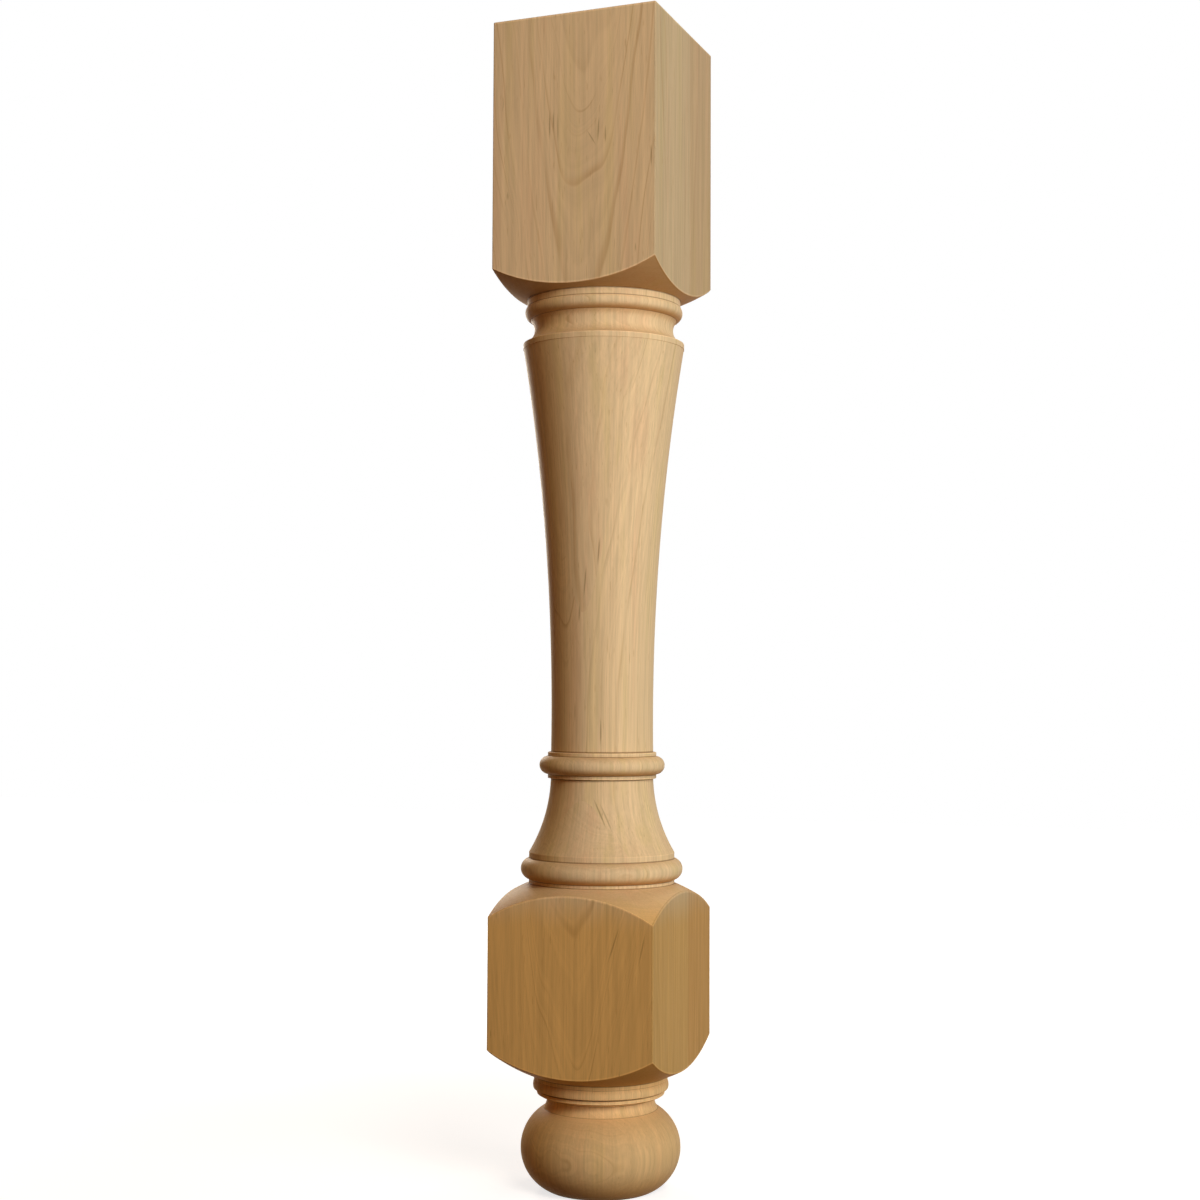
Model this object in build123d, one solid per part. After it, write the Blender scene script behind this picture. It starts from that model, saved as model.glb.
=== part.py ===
from build123d import *

import math
import os

# Kitchen island leg, turned from one square wooden blank.
# Millimetres, +Z up, origin on the floor under the middle of the foot.
# The square lengths keep the flat faces of the blank, and the rest is turned round.
# Members are listed from the top down; every LENGTH is measured along the leg's axis.

# Blank
HEIGHT = 876.3
STOCK = 130.2
ARRIS_RADIUS = 1.0

# Top square, long enough to take a rail on any side, and the shoulder cut under its corners
TOP_SQUARE_LENGTH = 187.5
TOP_SHOULDER_LENGTH = 17.8
TOP_SHOULDER_SECTION = 130.0

# Collar under the top square: fillet, quarter bead, cove, and the land where the shaft starts
# A SECTION is the radius of a cut's own curve, seen from the side
COLLAR_FILLET_LENGTH = 5.8
COLLAR_FILLET_RADIUS = 58.8
COLLAR_BEAD_LENGTH = 9.4
COLLAR_BEAD_TOP_RADIUS = 59.3
COLLAR_BEAD_SECTION = 6.1
COVE_LENGTH = 18.2
COVE_TOP_RADIUS = 56.0
COVE_BOTTOM_RADIUS = 60.7
COVE_SECTION = 11.4
LAND_LENGTH = 4.3
LAND_RADIUS = 61.7

# Shaft: one long hollow curve, narrowest a little above its lower end
SHAFT_TOP_RADIUS = 61.4
WAIST_RADIUS = 38.65
WAIST_ABOVE_RING = 26.6

# Ring between the shaft and the bell: a half bead between two fillets
RING_FILLET_LENGTH = 3.0
RING_FILLET_RADIUS = 41.2
RING_BEAD_LENGTH = 13.7
RING_BEAD_RADIUS = 47.6

# Bell: a hollow flare down to an upright lip
BELL_LENGTH = 55.7
BELL_TOP_RADIUS = 38.9
BELL_BOTTOM_RADIUS = 55.1
BELL_SAG = 3.7
LIP_LENGTH = 4.5

# Half bead and fillet on top of the lower square
BASE_BEAD_LENGTH = 15.8
BASE_BEAD_RADIUS = 61.3
BASE_FILLET_LENGTH = 2.9

# Lower square and the shoulders cut over and under its corners
UPPER_SHOULDER_LENGTH = 22.6
UPPER_SHOULDER_SECTION = 135.0
LOWER_SQUARE_LENGTH = 96.7
LOWER_SHOULDER_LENGTH = 23.9
LOWER_SHOULDER_SECTION = 140.0

# Ankle: fillet, half bead, fillet and short hollow neck
ANKLE_FILLET_LENGTH = 3.0
ANKLE_FILLET_RADIUS = 50.4
ANKLE_BEAD_LENGTH = 11.7
ANKLE_BEAD_RADIUS = 50.9
ANKLE_BEAD_TOP_RADIUS = 49.8
ANKLE_BEAD_BOTTOM_RADIUS = 46.4
ANKLE_RING_LENGTH = 1.7
ANKLE_RING_RADIUS = 41.4
NECK_LENGTH = 8.35
NECK_TOP_RADIUS = 40.3
NECK_BOTTOM_RADIUS = 42.9
NECK_SAG = 0.7

# Foot: a round ball with a flat sole
BALL_RADIUS = 60.15
BALL_SECTION = 33.45
SOLE_RADIUS = 41.0

# Half diagonal of the blank, and how far the turning profile runs outside it at the squares
CORNER_RADIUS = STOCK / math.sqrt(2)
CLEARANCE = 5.0


def ball_half_length(radius):
    """Height of a point of the ball's section above or below its widest circle."""
    across = radius - (BALL_RADIUS - BALL_SECTION)
    return math.sqrt(BALL_SECTION**2 - across**2)


BALL_CENTRE_HEIGHT = ball_half_length(SOLE_RADIUS)
BALL_LENGTH = BALL_CENTRE_HEIGHT + ball_half_length(NECK_BOTTOM_RADIUS)

COLLAR_LENGTH = COLLAR_FILLET_LENGTH + COLLAR_BEAD_LENGTH + COVE_LENGTH + LAND_LENGTH
RING_LENGTH = 2 * RING_FILLET_LENGTH + RING_BEAD_LENGTH
ANKLE_LENGTH = ANKLE_FILLET_LENGTH + ANKLE_BEAD_LENGTH + ANKLE_RING_LENGTH + NECK_LENGTH
LOWER_BLOCK_LENGTH = UPPER_SHOULDER_LENGTH + LOWER_SQUARE_LENGTH + LOWER_SHOULDER_LENGTH

# The shaft takes up whatever the other members leave of the height
SHAFT_LENGTH = HEIGHT - (
    TOP_SQUARE_LENGTH
    + TOP_SHOULDER_LENGTH
    + COLLAR_LENGTH
    + RING_LENGTH
    + BELL_LENGTH
    + LIP_LENGTH
    + BASE_BEAD_LENGTH
    + BASE_FILLET_LENGTH
    + LOWER_BLOCK_LENGTH
    + ANKLE_LENGTH
    + BALL_LENGTH
)


class Profile:
    """The turner's cut line in the XZ plane: straight and round cuts, each from the last one's end."""

    def __init__(self, radius, height):
        self.start = Vector(radius, 0, height)
        self.here = self.start
        self.cuts = []

    def straight(self, radius, down=0.0):
        """Straight cut to another radius and a given distance further down."""
        there = Vector(radius, 0, self.here.Z - down)
        self.cuts.append(Line(self.here, there))
        self.here = there

    def curve(self, radius, down, rise):
        """Round cut whose middle stands out of its chord by rise, or into it where rise is negative."""
        there = Vector(radius, 0, self.here.Z - down)
        chord = there - self.here
        outward = Vector(-chord.Z, 0, chord.X).normalized()
        crown = (self.here + there) * 0.5 + outward * rise
        self.cuts.append(ThreePointArc(self.here, crown, there))
        self.here = there

    def arc(self, radius, down, section, hollow=False):
        """Round cut of a given section radius, standing out, or hollow."""
        half_chord = math.hypot(radius - self.here.X, down) / 2
        rise = section - math.sqrt(section**2 - half_chord**2)
        self.curve(radius, down, -rise if hollow else rise)

    def bead(self, length, crown_radius, end_radius=None):
        """Bead out to its crown and back, to the radius it started from or to another."""
        end_radius = end_radius or self.here.X
        self.curve(end_radius, length, crown_radius - (self.here.X + end_radius) / 2)

    def face(self):
        """The closed half section, from the cut line in to the axis."""
        top = Vector(0, 0, self.start.Z)
        sole = Vector(0, 0, self.here.Z)
        closing = [Line(self.here, sole), Line(sole, top), Line(top, self.start)]
        return make_face(self.cuts + closing)


def cut_top_square(profile):
    """Leave the top square whole, then cut the shoulder under its four corners."""
    profile.straight(CORNER_RADIUS + CLEARANCE, TOP_SQUARE_LENGTH)
    profile.straight(CORNER_RADIUS)
    profile.arc(COLLAR_FILLET_RADIUS, TOP_SHOULDER_LENGTH, TOP_SHOULDER_SECTION)


def cut_collar(profile):
    """Fillet, quarter bead, cove and land under the top square."""
    profile.straight(COLLAR_FILLET_RADIUS, COLLAR_FILLET_LENGTH)
    profile.straight(COLLAR_BEAD_TOP_RADIUS)
    profile.arc(COVE_TOP_RADIUS, COLLAR_BEAD_LENGTH, COLLAR_BEAD_SECTION)
    profile.arc(COVE_BOTTOM_RADIUS, COVE_LENGTH, COVE_SECTION, hollow=True)
    profile.straight(LAND_RADIUS)
    profile.straight(LAND_RADIUS, LAND_LENGTH)


def cut_shaft(profile):
    """One hollow curve through the waist, upright where it is narrowest."""
    above = SHAFT_LENGTH - WAIST_ABOVE_RING
    swell = SHAFT_TOP_RADIUS - WAIST_RADIUS
    section = (above**2 + swell**2) / (2 * swell)
    end_radius = WAIST_RADIUS + section - math.sqrt(section**2 - WAIST_ABOVE_RING**2)
    profile.straight(SHAFT_TOP_RADIUS)
    profile.arc(end_radius, SHAFT_LENGTH, section, hollow=True)


def cut_ring(profile):
    """Half bead between two fillets, at the foot of the shaft."""
    profile.straight(RING_FILLET_RADIUS)
    profile.straight(RING_FILLET_RADIUS, RING_FILLET_LENGTH)
    profile.bead(RING_BEAD_LENGTH, RING_BEAD_RADIUS)
    profile.straight(RING_FILLET_RADIUS, RING_FILLET_LENGTH)


def cut_bell(profile):
    """Hollow flare, its upright lip, and the half bead and fillet under it."""
    profile.straight(BELL_TOP_RADIUS)
    profile.curve(BELL_BOTTOM_RADIUS, BELL_LENGTH, -BELL_SAG)
    profile.straight(BELL_BOTTOM_RADIUS, LIP_LENGTH)
    profile.bead(BASE_BEAD_LENGTH, BASE_BEAD_RADIUS)
    profile.straight(BELL_BOTTOM_RADIUS, BASE_FILLET_LENGTH)


def cut_lower_square(profile):
    """Shoulders over and under the corners of the lower square, which is left whole."""
    profile.arc(CORNER_RADIUS, UPPER_SHOULDER_LENGTH, UPPER_SHOULDER_SECTION)
    profile.straight(CORNER_RADIUS + CLEARANCE)
    profile.straight(CORNER_RADIUS + CLEARANCE, LOWER_SQUARE_LENGTH)
    profile.straight(CORNER_RADIUS)
    profile.arc(ANKLE_FILLET_RADIUS, LOWER_SHOULDER_LENGTH, LOWER_SHOULDER_SECTION)


def cut_ankle(profile):
    """Fillet, bead, ring and short hollow neck between the lower square and the ball."""
    profile.straight(ANKLE_FILLET_RADIUS, ANKLE_FILLET_LENGTH)
    profile.straight(ANKLE_BEAD_TOP_RADIUS)
    profile.bead(ANKLE_BEAD_LENGTH, ANKLE_BEAD_RADIUS, ANKLE_BEAD_BOTTOM_RADIUS)
    profile.straight(ANKLE_RING_RADIUS)
    profile.straight(ANKLE_RING_RADIUS, ANKLE_RING_LENGTH)
    profile.straight(NECK_TOP_RADIUS)
    profile.curve(NECK_BOTTOM_RADIUS, NECK_LENGTH, -NECK_SAG)


def cut_ball(profile):
    """Ball of one round section, cut off flat at the sole."""
    height = profile.here.Z
    crown = Vector(BALL_RADIUS, 0, BALL_CENTRE_HEIGHT)
    sole_edge = Vector(SOLE_RADIUS, 0, height - BALL_LENGTH)
    profile.cuts.append(ThreePointArc(profile.here, crown, sole_edge))
    profile.here = sole_edge


def turned_form():
    """The solid of revolution that the lathe would leave of an endless blank."""
    profile = Profile(CORNER_RADIUS + CLEARANCE, HEIGHT)
    cut_top_square(profile)
    cut_collar(profile)
    cut_shaft(profile)
    cut_ring(profile)
    cut_bell(profile)
    cut_lower_square(profile)
    cut_ankle(profile)
    cut_ball(profile)
    return revolve(profile.face(), axis=Axis.Z)


def square_blank():
    """The dressed square blank, with its long edges eased."""
    return extrude(RectangleRounded(STOCK, STOCK, ARRIS_RADIUS), HEIGHT)


def island_leg():
    """The blank and the turned form have in common what is left of the wood."""
    return square_blank() & turned_form()


os.makedirs("parts", exist_ok=True)
export_step(island_leg(), "parts/island_leg.step")
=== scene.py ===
import math

import bpy
import numpy as np
from bpy.props import FloatProperty, FloatVectorProperty, PointerProperty
from mathutils import Matrix, Vector


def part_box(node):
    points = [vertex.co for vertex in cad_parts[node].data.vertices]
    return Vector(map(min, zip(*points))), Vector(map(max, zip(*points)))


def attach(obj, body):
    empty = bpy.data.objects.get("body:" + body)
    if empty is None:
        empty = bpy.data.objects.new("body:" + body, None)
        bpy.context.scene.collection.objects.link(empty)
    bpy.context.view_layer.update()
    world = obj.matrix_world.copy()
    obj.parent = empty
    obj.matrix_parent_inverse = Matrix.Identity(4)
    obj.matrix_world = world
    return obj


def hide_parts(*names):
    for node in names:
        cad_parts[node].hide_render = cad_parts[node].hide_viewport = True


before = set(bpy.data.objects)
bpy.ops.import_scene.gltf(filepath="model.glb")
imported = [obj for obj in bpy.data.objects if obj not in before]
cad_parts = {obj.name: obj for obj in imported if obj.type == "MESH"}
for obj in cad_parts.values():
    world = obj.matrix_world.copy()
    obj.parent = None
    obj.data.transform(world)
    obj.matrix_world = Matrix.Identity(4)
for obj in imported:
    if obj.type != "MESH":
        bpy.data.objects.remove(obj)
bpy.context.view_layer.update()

bl_info = {
    "name": "Kitchen island leg",
    "version": (1, 0, 0),
    "blender": (4, 5, 0),
    "location": "3D View > Sidebar > Island leg",
    "description": "Builds a turned maple leg for a kitchen island, and a pale studio to show it in",
    "category": "Add Mesh",
}

MM = 0.001

# The turner's blank, as the frame has it: the height and the width of the squares
LEG_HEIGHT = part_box("island_leg")[1].z
BLANK_WIDTH = 2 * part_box("island_leg")[1].x

# The camera stands to the right of the front face by so many degrees, and is turned by the next three.
# Its lens and its sensor are in millimetres.
CAMERA_AZIMUTH = 21.382
CAMERA_YAW = -0.083
CAMERA_PITCH = 2.772
CAMERA_ROLL = 0.237
LENS = 56.934
SENSOR_WIDTH = 36.0

# Soft lamps: name, degrees to the right of the camera, height and width in metres, watts, colour.
# The fill is orange, to give the shaded side the photograph's brown.
LAMPS = (
    ("key_softbox", 22, 1.35, 0.8, 18.1, "#FCFBF9"),
    ("side_softbox", 50, 0.5, 0.9, 15.5, "#F3F6FF"),
    ("fill_softbox", -32, 1.25, 0.9, 2.4, "#FF8C38"),
    ("back_softbox", 150, 2.2, 0.9, 12.0, "#FFFCF6"),
    ("left_softbox", -160, 0.8, 0.5, 11.5, "#FFF6E8"),
)

# The lamps stand so far from the leg's axis and look at this point of it, in metres
LAMP_DISTANCE = 1.7
LAMP_AIM = (0.0, 0.0, 0.5)

# The room's own light is dim
ROOM_STRENGTH = 0.03

# Mesh fineness: columns round the leg, and points that round off one corner of the section
COLUMNS_PER_FACE = 43
COLUMNS_PER_ARRIS = 5
POINTS_PER_EASED_CORNER = 3

# Mesh fineness: steps down or across each kind of cut
END_STEPS = 3
FACE_STEPS = 6
SHOULDER_STEPS = 14
FILLET_STEPS = 2
QUARTER_BEAD_STEPS = 12
BEAD_STEPS = 16
COVE_STEPS = 16
SHAFT_STEPS = 54
BELL_STEPS = 28
NECK_STEPS = 8
BALL_STEPS = 42

# An eased corner takes at most this share of the shorter cut beside it, and at least this length
MOST_EASED = 0.35
LEAST_EASED = 0.005 * MM

# Where the pith ran beside the first board, in x and y, and in z how much its rings taper for each
# millimetre up the leg, and how the second and the third board differ from the one before
FIRST_PITH = (8.0, 6.0, 0.085)
SECOND_PITH_CHANGE = (20.0, 64.0, -0.14)
THIRD_PITH_CHANGE = (-50.0, -140.0, 0.12)

# Each board has its figure from another place of the noise, and its years from another count
BOARD_SHIFT = (173.0, 61.0, 419.0)
YEARS_BETWEEN_BOARDS = 37.0

# How many millimetres the fibres wander over a hand's width, and ripple in between
WANDER = 24.0
RIPPLE = 7.0

# By how many years the count is shifted here and there, so that the rings are of uneven width
UNEVEN_YEARS = 3.0

# The shares of a year at which its growth line starts and is darkest
LINE_STARTS = 0.84
LINE_DARKEST = 0.96

# Stripes that follow the turned form: how fine they are round the leg, and their length in millimetres
STRIPES_ROUND = 21.0
STRIPE_LENGTH = 230

# Heights in millimetres between which a tone comes in, going down, and how far the amber's wander
AMBER_STARTS, AMBER_FULL = 242, 204
AMBER_WANES, AMBER_HALF = 102, 82
# Between the next two heights the painted light on the ankle comes in
ANKLE_LIGHT_STARTS, ANKLE_LIGHT_FULL = 92, 84
BALL_STARTS, BALL_DEEPEST = 66, 54
TONE_DRIFT = 16.0

# Mineral streaks: across and up in millimetres, length, width, lean for each millimetre up, depth of tone
FRONT_STREAKS = (
    (-18.5, 793, 26, 1.6, 0.0, 0.5),
    (-15.5, 795, 20, 1.6, 0.0, 0.45),
    (-12.0, 790, 30, 1.8, 0.0, 0.3),
    (15.0, 780, 14, 1.6, -0.6, 0.4),
    (20.5, 786, 24, 1.6, 0.05, 0.5),
    (26.0, 782, 16, 1.5, 0.0, 0.4),
    (62.0, 762, 20, 1.6, 0.0, 0.5),
    (12.7, 476, 26, 1.7, 0.1, 0.5),
    (2.0, 453, 28, 1.6, 0.1, 0.5),
    (-2.9, 430, 16, 1.8, 0.05, 0.4),
    (13.0, 342, 26, 1.6, 0.0, 0.45),
    (-7.0, 357, 20, 1.6, 0.0, 0.35),
    (14.0, 282, 26, 1.8, -0.5, 0.5),
    (18.5, 279, 24, 1.6, -0.5, 0.4),
    (34.9, 190, 34, 1.8, 0.33, 0.4),
    (56.7, 188, 30, 1.8, 0.23, 0.35),
)

# The streaks die out over so many millimetres behind the middle of the leg
STREAK_FADE = 30

# How far the painted highlight or the painted shade line of an edge reaches beside it, and the most of a step
# that it takes
EDGE_REACH = 1.3 * MM
MOST_REACHED = 0.4

# An inner corner under a step of this height or less gets no line of painted shade
FAINT_STEP = 0.3 * MM

# Settings of a Map Range node that eases in and out
EASED = {"interpolation_type": "SMOOTHSTEP"}

# Sockets of a Mix node that take the lower and the upper colour
UNDER, OVER = 6, 7


def linear(hex_colour):
    """Linear red, green and blue of an sRGB colour written as a hex string."""
    shares = [int(hex_colour[i:i + 2], 16) / 255 for i in (1, 3, 5)]
    return [s / 12.92 if s <= 0.04045 else ((s + 0.055) / 1.055) ** 2.4 for s in shares]


def length(name, millimetres, description):
    """A length that the user can change, written here in millimetres."""
    return FloatProperty(
        name=name, description=description, default=millimetres * MM, min=0.0, unit="LENGTH", precision=4
    )


def colour(name, hex_colour, description):
    """A colour that the user can change, written here as sRGB hex."""
    return FloatVectorProperty(
        name=name, description=description, default=linear(hex_colour), min=0.0, max=1.0, subtype="COLOR"
    )


class LegSizes(bpy.types.PropertyGroup):
    """Driving sizes of the leg's members, from the top square down to the sole."""

    height: length("Height", LEG_HEIGHT / MM, "Floor to the top end")
    stock: length("Blank width", BLANK_WIDTH / MM, "Width across the flats of both squares")
    arris: length("Arris", 1.0, "Radius of the long edges of the squares")
    top_square: length("Top square", 187.5, "Length of the top square at its corners")
    top_shoulder: length("Top shoulder", 17.8, "Height of the shoulder cut under the top square's corners")
    top_section: length("Top shoulder section", 130.0, "Section radius of that shoulder")
    collar_fillet: length("Collar fillet", 5.8, "Length of the fillet under the top square")
    collar_radius: length("Collar fillet radius", 58.8, "Radius of the leg at that fillet")
    quarter_bead: length("Quarter bead", 9.4, "Length of the quarter bead over the cove")
    quarter_bead_radius: length("Quarter bead radius", 59.3, "Radius of the leg on top of the quarter bead")
    quarter_bead_section: length("Quarter bead section", 6.1, "Section radius of the quarter bead")
    cove: length("Cove", 18.2, "Length of the cove")
    cove_top: length("Cove top radius", 56.0, "Radius of the leg where the cove starts")
    cove_bottom: length("Cove bottom radius", 60.7, "Radius of the leg where the cove ends")
    cove_section: length("Cove section", 11.4, "Section radius of the cove")
    land: length("Land", 4.3, "Length of the land under the cove")
    land_radius: length("Land radius", 61.7, "Radius of the leg at the land")
    shaft_top: length("Shaft top radius", 61.4, "Radius of the shaft under the land")
    waist: length("Waist radius", 38.65, "Least radius of the shaft")
    waist_above_ring: length("Waist above ring", 26.6, "Height of the waist over the ring")
    ring_fillet: length("Ring fillet", 3.0, "Length of each fillet beside the ring's bead")
    ring_fillet_radius: length("Ring fillet radius", 41.2, "Radius of the leg at those fillets")
    ring_bead: length("Ring bead", 13.7, "Length of the ring's bead")
    ring_bead_radius: length("Ring bead radius", 47.6, "Radius of the leg at the crown of that bead")
    bell: length("Bell", 55.7, "Length of the bell's hollow flare")
    bell_top: length("Bell top radius", 38.9, "Radius of the leg where the bell starts")
    bell_bottom: length("Bell bottom radius", 55.1, "Radius of the leg at the bell's lip")
    bell_sag: length("Bell sag", 3.7, "Depth of the flare's hollow under its chord")
    lip: length("Lip", 4.5, "Length of the bell's upright lip")
    base_bead: length("Base bead", 15.8, "Length of the bead on the lower square")
    base_bead_radius: length("Base bead radius", 61.3, "Radius of the leg at the crown of that bead")
    base_fillet: length("Base fillet", 2.9, "Length of the fillet under that bead")
    upper_shoulder: length("Upper shoulder", 22.6, "Height of the shoulder over the lower square's corners")
    upper_section: length("Upper shoulder section", 135.0, "Section radius of that shoulder")
    lower_square: length("Lower square", 96.7, "Length of the lower square at its corners")
    lower_shoulder: length("Lower shoulder", 23.9, "Height of the shoulder under that square's corners")
    lower_section: length("Lower shoulder section", 140.0, "Section radius of that shoulder")
    ankle_fillet: length("Ankle fillet", 3.0, "Length of the fillet under the lower square")
    ankle_fillet_radius: length("Ankle fillet radius", 50.4, "Radius of the leg at that fillet")
    ankle_bead: length("Ankle bead", 11.7, "Length of the ankle's bead")
    ankle_bead_top: length("Ankle bead top radius", 49.8, "Radius of the leg where that bead starts")
    ankle_bead_radius: length("Ankle bead radius", 50.9, "Radius of the leg at the bead's crown")
    ankle_bead_bottom: length("Ankle bead bottom radius", 46.4, "Radius of the leg where that bead ends")
    quirk_height: length("Quirk height", 4.9, "From the bottom of that bead up to the quirk in its flank")
    quirk: length("Quirk", 1.9, "Width of the quirk, a narrow groove that sets off a fine ring")
    quirk_radius: length("Quirk radius", 47.2, "Radius of the leg at the bottom of the quirk")
    fine_ring: length("Fine ring", 2.0, "Length of the fine ring under the quirk")
    fine_ring_radius: length("Fine ring radius", 48.15, "Radius of the leg at the fine ring")
    ankle_ring: length("Ankle ring", 1.7, "Length of the ring under the ankle's bead")
    ankle_ring_radius: length("Ankle ring radius", 41.4, "Radius of the leg at that ring")
    neck: length("Neck", 8.35, "Length of the neck over the ball")
    neck_top: length("Neck top radius", 40.3, "Radius of the leg where the neck starts")
    neck_bottom: length("Neck bottom radius", 42.9, "Radius of the leg where the neck meets the ball")
    neck_sag: length("Neck sag", 0.7, "Depth of the neck's hollow under its chord")
    ball_radius: length("Ball radius", 60.15, "Radius of the leg at the ball's widest")
    ball_section: length("Ball section", 33.45, "Section radius of the ball")
    sole_radius: length("Sole radius", 41.0, "Radius of the flat sole")
    square_ease: length("Square ease", 0.8, "How far the edges of the squares are rounded by sanding")
    turned_ease: length("Turned ease", 0.4, "How far the edges of the turned parts are rounded by sanding")
    tool_ease: length("Tool ease", 0.2, "Rounding that the tool leaves in the inner corners")


class MapleFinish(bpy.types.PropertyGroup):
    """Colours and figure of the bare maple, and the colour of the painted shade in its inner corners."""

    earlywood: colour("Earlywood", "#E2C494", "Pale wood between the growth lines")
    latewood: colour("Latewood", "#A3743A", "Thin brown line that ends each year's growth")
    rosy: colour("Rosy wood", "#DFB88B", "Pinkish tone of some streaks")
    olive: colour("Olive wood", "#DAC087", "Greenish tone of some streaks")
    amber: colour("Amber wood", "#DEAF66", "Warmer tone of the blank towards the floor")
    # Also laid on more strongly where the faces turn down, as painted shade
    cut_fibre_tone_and_shade: colour("End grain", "#B87828", "Deeper tone where the fibres are cut across")
    # Painted shade: the colour of the dark lines in the inner corners, where shade falls
    painted_corner_shade: colour("Burnished corners", "#6B4317", "Dark line that the tool leaves in the inner corners")
    mineral: colour("Mineral streak", "#7B5F33", "Rare dark streaks along the grain")
    ring_spacing: length("Ring spacing", 4.4, "Width of one year's growth")
    front_seam: length("Front seam", 24.7, "Depth of the first glue line behind the front face")
    back_seam: length("Back seam", 78.1, "Depth of the second glue line behind the front face")


class StudioLook(bpy.types.PropertyGroup):
    """The pale floor, the soft lamps and the camera."""

    room: colour("Room light", "#FFC078", "Warm light of the room itself")
    floor: colour("Floor", "#C9C4BC", "Pale floor that the leg stands on")
    bounce: colour("Floor bounce", "#755E44", "Warm tone of the light that the floor sends back up")
    floor_size: length("Floor size", 8000.0, "Width of the floor")
    camera_distance: length("Camera distance", 1447.6, "From the leg's axis to the camera")
    camera_height: length("Camera height", 371.6, "From the floor to the camera")


def add(tree, kind, sockets=None, **settings):
    """Add one node with its settings. A node or an output for a socket is linked to it, and a value is set.

    A Map Range node has its value at 0, the range that this has at 1 and 2, and its new range at 3 and 4.
    """
    new = tree.nodes.new("ShaderNode" + kind)
    for name, value in settings.items():
        setattr(new, name, value)
    for socket, value in (sockets or {}).items():
        if isinstance(value, bpy.types.Node):
            value = next(output for output in value.outputs if output.enabled)
        if isinstance(value, bpy.types.NodeSocket):
            tree.links.new(value, new.inputs[socket])
        else:
            new.inputs[socket].default_value = value
    return new


class Straight:
    """Straight cut of the section, from one (radius, height) point to another."""

    def __init__(self, start, end):
        self.start = np.array(start)
        self.end = np.array(end)
        self.length = np.linalg.norm(self.end - self.start)

    def at(self, shares):
        """Points at these shares of the way."""
        return self.start + np.outer(shares, self.end - self.start)


class Round:
    """Round cut of the section, whose middle stands out of its chord by rise, or in if that is negative."""

    def __init__(self, start, end, rise):
        start, end = np.array(start), np.array(end)
        chord = end - start
        half = np.linalg.norm(chord) / 2
        outward = np.array([-chord[1], chord[0]]) / (2 * half)
        self.section = (half**2 + rise**2) / (2 * abs(rise))
        self.centre = (start + end) / 2 + outward * (rise - math.copysign(self.section, rise))
        self.first = math.atan2(*(start - self.centre)[::-1])
        turn = math.atan2(*(end - self.centre)[::-1]) - self.first
        self.last = self.first + (turn + math.pi) % (2 * math.pi) - math.pi

    @classmethod
    def of_section(cls, start, end, section, hollow=False):
        """The round cut between two points that has a given section radius."""
        half = math.dist(start, end) / 2
        rise = section - math.sqrt(section**2 - half**2)
        return cls(start, end, -rise if hollow else rise)

    @property
    def length(self):
        return self.section * abs(self.last - self.first)

    @property
    def start(self):
        return self.at([0.0])[0]

    @property
    def end(self):
        return self.at([1.0])[0]

    def angle_at(self, radius):
        """Angle of the cut's point at a distance from the leg's axis."""
        return math.copysign(math.acos((radius - self.centre[0]) / self.section), self.first)

    def at(self, shares):
        """Points at these shares of the way."""
        angles = self.first + np.asarray(shares) * (self.last - self.first)
        return self.centre + self.section * np.stack([np.cos(angles), np.sin(angles)], axis=1)


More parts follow.
